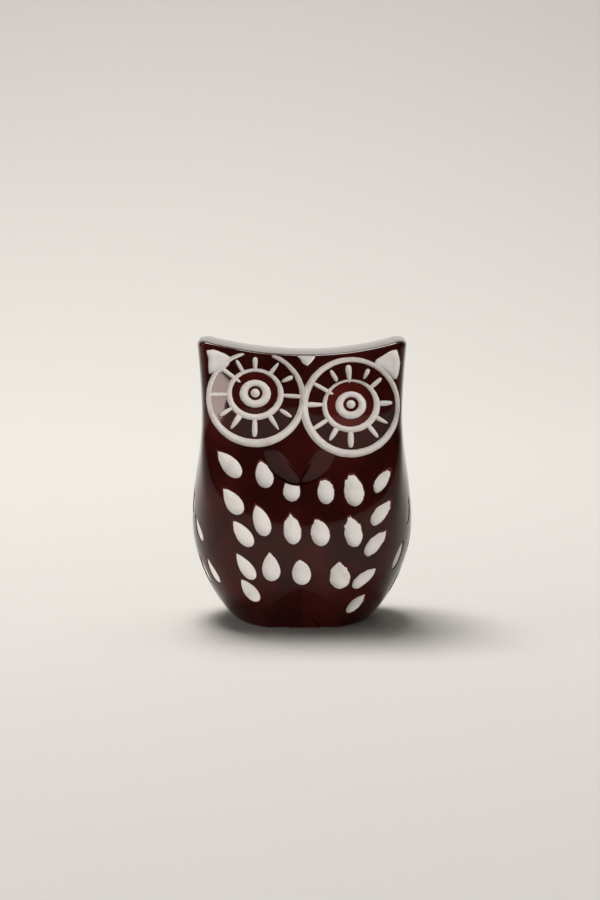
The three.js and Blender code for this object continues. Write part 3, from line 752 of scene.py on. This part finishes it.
# On the flanks, across is the distance in front of the middle, and lean is to the back.
flanks = {
    "left": [
        (6.6, 17.2, 5.2, 2.1, 27, 0.9, 0, 0.2),
        (8.3, 10.1, 4.9, 1.9, 12, 0.9, 0, 0.2),
        (3.0, 22.0, 5.4, 2.4, 18, 0.6, 0, 0.4),
        (4.6, 9.6, 5.2, 2.2, 14, 0.6, 0, 0.4),
        (-1.6, 15.4, 5.6, 2.4, 12, 0.6, 0, 0.4),
    ],
    "right": [
        (5.4, 20.2, 5.2, 2.2, 22, 0.6, 0, 0.4),
        (7.6, 12.6, 5.2, 2.0, 14, 0.6, 0, 0.4),
        (1.8, 14.6, 5.6, 2.4, 16, 0.6, 0, 0.4),
        (3.6, 7.6, 4.8, 2.2, 12, 0.6, 0, 0.4),
        (-2.4, 21.2, 5.4, 2.4, 12, 0.6, 0, 0.4),
    ],
}
backRows = [(37.5, 3, 8.6), (28.5, 4, 8.0), (19.5, 3, 8.6), (10.8, 2, 8.2)]  # height, count, spacing
backFeather = {"length": 5.6, "width": 3.1, "fan": 2.2, "shape": (0.5, 0, 0.6)}


def noiseAround(t, scale, height):
    return np.array([noise.noise(Vector((scale * math.cos(a), scale * math.sin(a), height))) for a in t])


def roughOutline(outline, middle, amount, seed):
    t = np.linspace(0, 2 * np.pi, len(outline), endpoint=False)
    wobble = sum(rng.normal() / k * np.sin(k * t + rng.uniform(0, 6.3)) for k in range(2, 9))
    fine = noiseAround(t, 9, seed * 3.7)
    return middle + (outline - middle) * (1 + amount * (0.45 * wobble + 0.8 * fine))[:, None]


def featherCutter(face, across, height, length, width, lean, sharp, skew, chip, seed, segments=84):
    t = np.linspace(0, 2 * np.pi, segments, endpoint=False)
    wide = np.abs(np.sin(t)) * np.sin(t / 2) ** sharp
    tip = ((1 + np.cos(t)) / 2) ** 2
    x = (np.sign(np.sin(t)) * wide / wide.max() + skew * tip) * width / 2
    outline = np.stack([x, np.cos(t) * length / 2], -1)
    middle = np.array([0.1 * skew * width, -feather["deepest"] * length])
    outline = roughOutline(outline, middle, feather["wobble"], seed)
    broken = np.abs(noiseAround(t, feather["chipScale"], 50 + seed * 2.3))
    broken = np.maximum(broken - feather["chipFrom"], 0)
    broken = np.minimum(broken * (0.2 + tip) * chip * feather["chip"], feather["chipMost"])
    off = outline - middle
    outline = outline + off / np.linalg.norm(off, axis=1, keepdims=True) * broken[:, None]
    turn = math.radians(-lean)
    spin = np.array([[math.cos(turn), math.sin(turn)], [-math.sin(turn), math.cos(turn)]])
    place = np.array([across, height])
    slope = feather["ramp"] + feather["steep"] * ((1 - np.cos(t)) / 2) ** 1.5

    def depthAt(at, share):
        return width * feather["depthShare"] * np.maximum(1 - share ** slope, 0) ** 0.85

    return patchCutter("feather", face, outline @ spin + place, middle @ spin + place, depthAt, 14)


def join(pieces, name):  # pieces that don't meet, as one mesh
    meshes = [p.data for p in pieces]
    points, polygons, start = [], [], 0
    for mesh in meshes:
        co = np.empty(len(mesh.vertices) * 3)
        mesh.vertices.foreach_get("co", co)
        points.append(co.reshape(-1, 3) / mm)
        polygons += [[v + start for v in p.vertices] for p in mesh.polygons]
        start += len(mesh.vertices)
    discard(*pieces)
    return newPiece(name, np.vstack(points), polygons, cut)


# Grooves of the eyes: how round their floors are, how steep their sides, how rough their edges.
ring = {"round": 2.2, "steep": 0.8, "rough": 0.05, "clear": 0.7, "lip": 0.03, "runOut": 1.7}
spokeCut = {"depth": 0.55, "round": 3, "steep": 0.8, "corner": 2.6, "rough": 0.035}
dot = {"round": 2.4, "steep": 0.8, "peg": 0.22, "pegWidth": 0.28, "rough": 0.03}


def ringCutter(eye, band, seed, segments=200):
    (xi, zi, rxi, rzi), (xo, zo, rxo, rzo), deep = band
    t = np.linspace(0, 2 * np.pi, segments, endpoint=False)
    share = np.linspace(0, 1, 15)
    loop = [(s, -deep * (1 - abs(2 * s - 1) ** ring["round"]) ** ring["steep"]) for s in share]
    loop += [(s, ring["clear"]) for s in (1 + ring["lip"], 0.5, -ring["lip"])]
    rough = ring["rough"] * np.array([noiseAround(t, 7, seed), noiseAround(t, 7, seed + 5)])
    rows = []
    lift = 0 * t
    if "open" in eye and band is eye["outer"]:  # the ring runs out where it meets the crown's edge
        clock = (90 - np.degrees(t) + 180) % 360 - 180
        start, gone, back, end = eye["open"]
        lift = ring["runOut"] * smoothstep(clock, start, gone) * smoothstep(clock, end, back)
    for s, w in loop:
        shift = mix(rough[0], rough[1], s)
        x = eye["x"] + mix(xi + (rxi + shift) * np.cos(t), xo + (rxo + shift) * np.cos(t), s)
        z = eye["z"] + mix(zi + (rzi + shift) * np.sin(t), zo + (rzo + shift) * np.sin(t), s)
        rows.append(np.stack([x, z, w + lift], -1))
    return skin("ring", layOn("front", np.array(rows)), cut)


def reachTo(ellipse, turn):  # from an eye's middle to an ellipse that is a little off it
    x, z, rx, rz = ellipse
    u, v = math.sin(turn) / rx, math.cos(turn) / rz
    half = u * x / rx + v * z / rz
    square = u * u + v * v
    return (half + math.sqrt(half * half - square * ((x / rx) ** 2 + (z / rz) ** 2 - 1))) / square


def spokeCutter(eye, spoke, seed):
    clock, innerBridge, outerBridge, width, taper = spoke
    turn = math.radians(clock)
    low = reachTo(eye["inner"][1], turn) + innerBridge
    high = reachTo(eye["outer"][0], turn) - outerBridge
    t = np.linspace(0, 2 * np.pi, 48, endpoint=False)
    c, s = np.cos(t), np.sin(t)
    corner = spokeCut["corner"]
    reach = (np.abs(c) ** corner + np.abs(s) ** corner) ** (-1 / corner)
    along = reach * c
    outline = np.stack([reach * s * width / 2 * (1 + taper * along), along * (high - low) / 2], -1)
    middle = np.zeros(2)
    outline = roughOutline(outline, middle, spokeCut["rough"], seed)
    spin = np.array([[math.cos(turn), -math.sin(turn)], [math.sin(turn), math.cos(turn)]])
    far = (low + high) / 2
    place = np.array([eye["x"] + far * math.sin(turn), eye["z"] + far * math.cos(turn)])

    def depthAt(at, share):
        return spokeCut["depth"] * np.maximum(1 - share ** spokeCut["round"], 0) ** spokeCut["steep"]

    return patchCutter("spoke", "front", outline @ spin + place, place, depthAt, 9)


def dotCutter(eye, seed):
    rx, rz, deep = eye["dot"]
    t = np.linspace(0, 2 * np.pi, 48, endpoint=False)
    place = np.array([eye["x"], eye["z"]])
    outline = place + np.stack([rx * np.cos(t), rz * np.sin(t)], -1)
    outline = roughOutline(outline, place, dot["rough"], seed)

    def depthAt(at, share):
        peg = dot["peg"] * np.exp(-(share / dot["pegWidth"]) ** 2)
        return deep * (1 - share ** dot["round"]) ** dot["steep"] + peg

    return patchCutter("dot", "front", outline, place, depthAt, 12)


# Ear tufts and the forehead chip: outline as x and z, and depth
tuftRough = 0.035
tufts = {
    "leftEar": (
        [(-16.45, 48.5), (-15.3, 48.85), (-14.2, 48.5), (-13.0, 48.0), (-12.0, 47.3), (-12.6, 46.0),
         (-13.7, 44.9), (-15.3, 44.7), (-16.0, 44.4), (-16.2, 45.7), (-16.1, 47.2)], 0.7),
    "rightEar": (
        [(12.2, 46.0), (12.6, 47.0), (13.6, 47.6), (14.7, 48.3), (15.5, 48.65), (16.3, 48.7), (16.75, 47.5),
         (17.0, 46.3), (16.8, 44.8), (16.35, 43.6), (15.7, 43.5), (14.6, 44.6), (13.4, 45.5)], 0.7),
    "forehead": (
        [(-2.2, 48.6), (-0.45, 47.3), (0.05, 46.4), (0.9, 45.9), (1.6, 46.5), (2.35, 47.5),
         (2.4, 48.6)], 0.7),
}


def tuftCutter(outline, deep, seed):
    # each side of the outline is broken into short steps so that its edge can chip
    outline = np.array(outline, dtype=float)
    middle = outline.mean(0)
    steps = np.linspace(0, 1, 8, endpoint=False)
    run = np.concatenate([mix(a, b, steps[:, None]) for a, b in zip(outline, np.roll(outline, -1, 0))])
    run = roughOutline(run, middle, tuftRough, seed)

    def depthAt(at, share):
        return deep * np.maximum(1 - share ** 4, 0) ** 0.7 * (0.8 + 0.2 * share)

    return patchCutter("tuft", "front", run, middle, depthAt, 10, clear=0.9)


def allFeathers():
    drops = [featherCutter("front", *shape, seed=i) for i, shape in enumerate(breast)]
    for side, turn in (("left", -1), ("right", 1)):
        for i, (across, height, length, width, lean, *shape) in enumerate(flanks[side]):
            size = length, width, turn * lean
            seed = 45 + 5 * turn + i
            drops.append(featherCutter(side, -turn * across, height, *size, *shape, seed=seed))
    for height, count, spacing in backRows:
        for i in range(count):
            across = (i - (count - 1) / 2) * spacing
            size = backFeather["length"], backFeather["width"], across * backFeather["fan"]
            seed = 60 + 7 * i + int(height)
            drops.append(featherCutter("back", across, height, *size, *backFeather["shape"], seed=seed))
    return join(drops, "cutters")


def allCutters():
    whole = allFeathers()
    spokes = [spokeCutter(eye, spoke, 80 + i) for eye in eyes for i, spoke in enumerate(eye["spokes"])]
    groups = [join(spokes, "spokes")]
    rings = [ringCutter(leftEye, leftEye["outer"], 1), dotCutter(leftEye, 11), dotCutter(rightEye, 12)]
    for i, eye in enumerate(eyes):
        rings += [ringCutter(eye, eye["inner"], 2 + i), ringCutter(eye, eye["disc"], 4 + i)]
    groups += [join(rings, "rings"), ringCutter(rightEye, rightEye["outer"], 8)]
    chips = [tuftCutter(*tuft, seed=90 + i) for i, tuft in enumerate(tufts.values())]
    groups.append(join(chips, "tufts"))
    for group in groups:
        carve(whole, group, "UNION")
    discard(*groups)
    return whole


cutters = allCutters()
print("stage: cutters made", len(cutters.data.polygons))

carvedBlock = bodySolid("carvedBlock", body["film"] + body["clearance"])
carve(carvedBlock, cutters)
print("stage: block carved", len(carvedBlock.data.polygons))

film = bodySolid("lacquerFilm", 0)
inner = bodySolid("inner", body["film"], baseAt=-2.0)
carve(film, inner)
carve(film, cutters)
floorSlab = inFrontOf((0, 0, body["filmLift"]), (0, 0, -1), 0)
carve(film, floorSlab)
discard(inner, cutters, floorSlab)
print("stage: film cut", len(film.data.polygons))


def looseParts(piece):
    for other in bpy.context.selected_objects:
        other.select_set(False)
    bpy.context.view_layer.objects.active = piece
    piece.select_set(True)
    bpy.ops.mesh.separate(type="LOOSE")
    return list(bpy.context.selected_objects)


def valuesOf(items, name, width=1, kind=float):  # one attribute of all points, edges, corners or faces
    values = np.empty(len(items) * width, dtype=kind)
    items.foreach_get(name, values)
    return values.reshape(-1, width) if width > 1 else values


def boxOf(piece):
    points = valuesOf(piece.data.vertices, "co", 3)
    return np.concatenate([points.min(0), points.max(0)])


# Each island of the film stands for the CAD node whose box it fits. Flakes fit none, and go.
fitWithin = 1.6 * mm
filmNodes = [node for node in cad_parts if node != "carved_block"]
boxes = {node: np.concatenate([np.array(corner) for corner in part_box(node)]) for node in filmNodes}
standsFor = {}
for part in looseParts(film):
    partBox = boxOf(part)
    miss, node = min((float(np.abs(partBox - box).max()), node) for node, box in boxes.items())
    if miss < fitWithin and node not in standsFor:
        standsFor[node] = part
    else:
        discard(part)
for node, part in standsFor.items():
    part.name = node


def sharpenBorders(mesh, cornerPlaces):  # edges between two kinds of face are sharp
    edges = valuesOf(mesh.loops, "edge_index", kind=np.int32)
    lowest = np.full(len(mesh.edges), len(finishes))
    highest = np.full(len(mesh.edges), -1)
    np.minimum.at(lowest, edges, cornerPlaces)
    np.maximum.at(highest, edges, cornerPlaces)
    sharp = valuesOf(mesh.edges, "use_edge_sharp", kind=bool)
    mesh.edges.foreach_set("use_edge_sharp", sharp | (lowest != highest))


surfaceNormals = bodyNormals.reshape(-1, 3)
surfaceTree = kdtree.KDTree(len(surfaceNormals))
for i, p in enumerate(bodyGrid.reshape(-1, 3)):
    surfaceTree.insert(p, i)
surfaceTree.balance()
edgeAngle = {"film": 32, "block": 40}  # faces that meet at more degrees than this have a sharp edge


def smoothNormal(point):  # of the uncut body, from the four nearest points of its grid
    total = Vector()
    for _, index, far in surfaceTree.find_n(point, 4):
        total += Vector(surfaceNormals[index]) / (far + 1e-4)
    return total.normalized()


# Lacquer keeps the smooth normals of the uncut body, so that its gloss runs clean up to each cut.
def settleNormals(piece):
    mesh = piece.data
    places = valuesOf(mesh.polygons, "material_index", kind=np.int32)
    cornerPlaces = np.repeat(places, valuesOf(mesh.polygons, "loop_total", kind=np.int32))
    mesh.shade_smooth()
    mesh.set_sharp_from_angle(angle=math.radians(edgeAngle["film"]))
    sharpenBorders(mesh, cornerPlaces)
    normals = valuesOf(mesh.corner_normals, "vector", 3)
    corners = valuesOf(mesh.loops, "vertex_index", kind=np.int32)
    points = valuesOf(mesh.vertices, "co", 3) / mm
    smooth = np.zeros((len(points), 3))
    for i in np.unique(corners[cornerPlaces == dark]):
        smooth[i] = smoothNormal(points[i])
    facing = np.einsum("ij,ij->i", smooth[corners], normals)
    kept = (cornerPlaces == dark) & (facing > 0.5)
    normals[kept] = smooth[corners[kept]]
    mesh.normals_split_custom_set(normals.tolist())
    places[places == facet] = dark
    mesh.polygons.foreach_set("material_index", places)
    mesh.update()


for node, part in standsFor.items():
    settleNormals(part)
    if "iris" in node or "pupil" in node:
        part.data.materials[dark] = eyeFinish
    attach(part, "root")
    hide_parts(node)

blockMesh = carvedBlock.data
blockFaces = len(blockMesh.polygons)
blockMesh.polygons.foreach_set("material_index", np.full(blockFaces, pale, dtype=np.int32))
blockMesh.polygons.foreach_set("use_smooth", np.ones(blockFaces, dtype=bool))
blockMesh.set_sharp_from_angle(angle=math.radians(edgeAngle["block"]))
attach(carvedBlock, "root")
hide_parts("carved_block")
print("stage: owl finished", sorted(standsFor))


# A pale sweep, in metres. It ends close in front of the owl, and a dark room is beyond it.
studio = {
    "floorTone": (0.745, 0.71, 0.66, 1),
    "darker": 0.97,  # tone of its fine mottle
    "mottle": 700.0,
    "grain": 0.08,
    "grainHeight": 0.0002,
    "near": -0.175,
    "sweepStart": 0.3,
    "sweepRadius": 0.9,
    "sweepTop": 1.6,
    "sweepSteps": 24,
    "halfWidth": 1.4,
    "roomTone": (1.0, 0.97, 0.94, 1),
    "room": 0.03,
}


def sweepFinish():
    finish, tree, place = newFinish("paleSweep")
    fleck = noiseAt(tree, place, studio["mottle"], 3.0)
    tone = studio["floorTone"]
    darker = tuple(studio["darker"] * c for c in tone[:3]) + (1,)
    bump = bumpFrom(tree, fleck, studio["grain"], studio["grainHeight"])
    colour = mixColour(tree, fleck, tone, darker)
    coverWith(tree, Base_Color=colour, Roughness=0.85, Specular_IOR_Level=0.2, Normal=bump)
    return finish


def floorSweep():
    start, radius, steps = studio["sweepStart"], studio["sweepRadius"], studio["sweepSteps"]
    line = [(studio["near"], 0.0), (start, 0.0)]
    for i in range(1, steps + 1):
        turn = math.pi / 2 * i / steps
        line.append((start + radius * math.sin(turn), radius * (1 - math.cos(turn))))
    line.append((start + radius, studio["sweepTop"]))
    wide = studio["halfWidth"]
    points = [(x, y, z) for y, z in line for x in (-wide, wide)]
    sides = [(2 * i, 2 * i + 1, 2 * i + 3, 2 * i + 2) for i in range(len(line) - 1)]
    mesh = bpy.data.meshes.new("sweep")
    mesh.from_pydata(points, [], sides)
    mesh.polygons.foreach_set("use_smooth", [True] * len(sides))
    mesh.materials.append(sweepFinish())
    sweep = bpy.data.objects.new("sweep", mesh)
    bpy.context.scene.collection.objects.link(sweep)


# Softboxes: place, what it is aimed at, width and height, power in watts
softboxes = {
    "topBox": ((-0.12, 0.22, 0.82), (0, 0, 0), (0.36, 0.36), 6.6),
    "leftBox": ((-0.75, 0.0, 0.4), (0, 0, 0.02), (0.5, 0.5), 0.6),
    "frontFill": ((-0.3, -0.7, 0.05), (0, 0, 0.03), (0.7, 0.07), 3.0),
    "backWash": ((0.0, 0.45, 1.3), (0, 1.0, 0.3), (1.4, 0.5), 4.4),
    "eyeCard": ((-0.083, -0.086, 0.036), (-0.0135, -0.012, 0.036), (0.07, 0.07), 0.25),
}
eyeCard = {"lean": -25, "tone": (1, 0.8, 0.76), "lights": ("left_eye_side_field", "left_eye_lower_field")}


def softbox(name):
    place, aim, size, power = softboxes[name]
    lamp = bpy.data.lights.new(name, "AREA")
    lamp.shape = "RECTANGLE"
    lamp.size, lamp.size_y = size
    lamp.energy = power
    box = bpy.data.objects.new(name, lamp)
    box.location = place
    box.rotation_euler = (Vector(aim) - Vector(place)).to_track_quat("-Z", "Y").to_euler()
    bpy.context.scene.collection.objects.link(box)
    return box


floorSweep()
boxesLit = {name: softbox(name) for name in softboxes}
boxesLit["frontFill"].visible_glossy = False

card = boxesLit["eyeCard"]  # shows only in the gloss of the left eye's outer fields
card.rotation_euler.rotate_axis("Z", math.radians(eyeCard["lean"]))
card.data.color = eyeCard["tone"]
card.visible_camera = False
card.visible_diffuse = False
card.visible_shadow = False
glossed = bpy.data.collections.new("glossedFilm")
for node in eyeCard["lights"]:
    if node in standsFor:
        glossed.objects.link(standsFor[node])
card.light_linking.receiver_collection = glossed

world = bpy.data.worlds.new("studioAir")
bpy.context.scene.world = world
world.use_nodes = True
air = world.node_tree.nodes["Background"]
air.inputs["Color"].default_value = studio["roomTone"]
air.inputs["Strength"].default_value = studio["room"]
bpy.context.scene.view_settings.view_transform = "Standard"

view = {"height": 0.0826, "distance": 0.400, "shift": -0.00035, "down": 7.5, "lens": 91.3, "sensor": 36}
camera = bpy.data.objects.new("camera", bpy.data.cameras.new("camera"))
camera.data.lens = view["lens"]
camera.data.sensor_width = view["sensor"]
camera.data.clip_start = 0.01
camera.location = (view["shift"], -view["distance"], view["height"])
camera.rotation_euler = (math.radians(90 - view["down"]), 0, 0)
bpy.context.scene.collection.objects.link(camera)
bpy.context.scene.camera = camera
print("stage: studio lit")
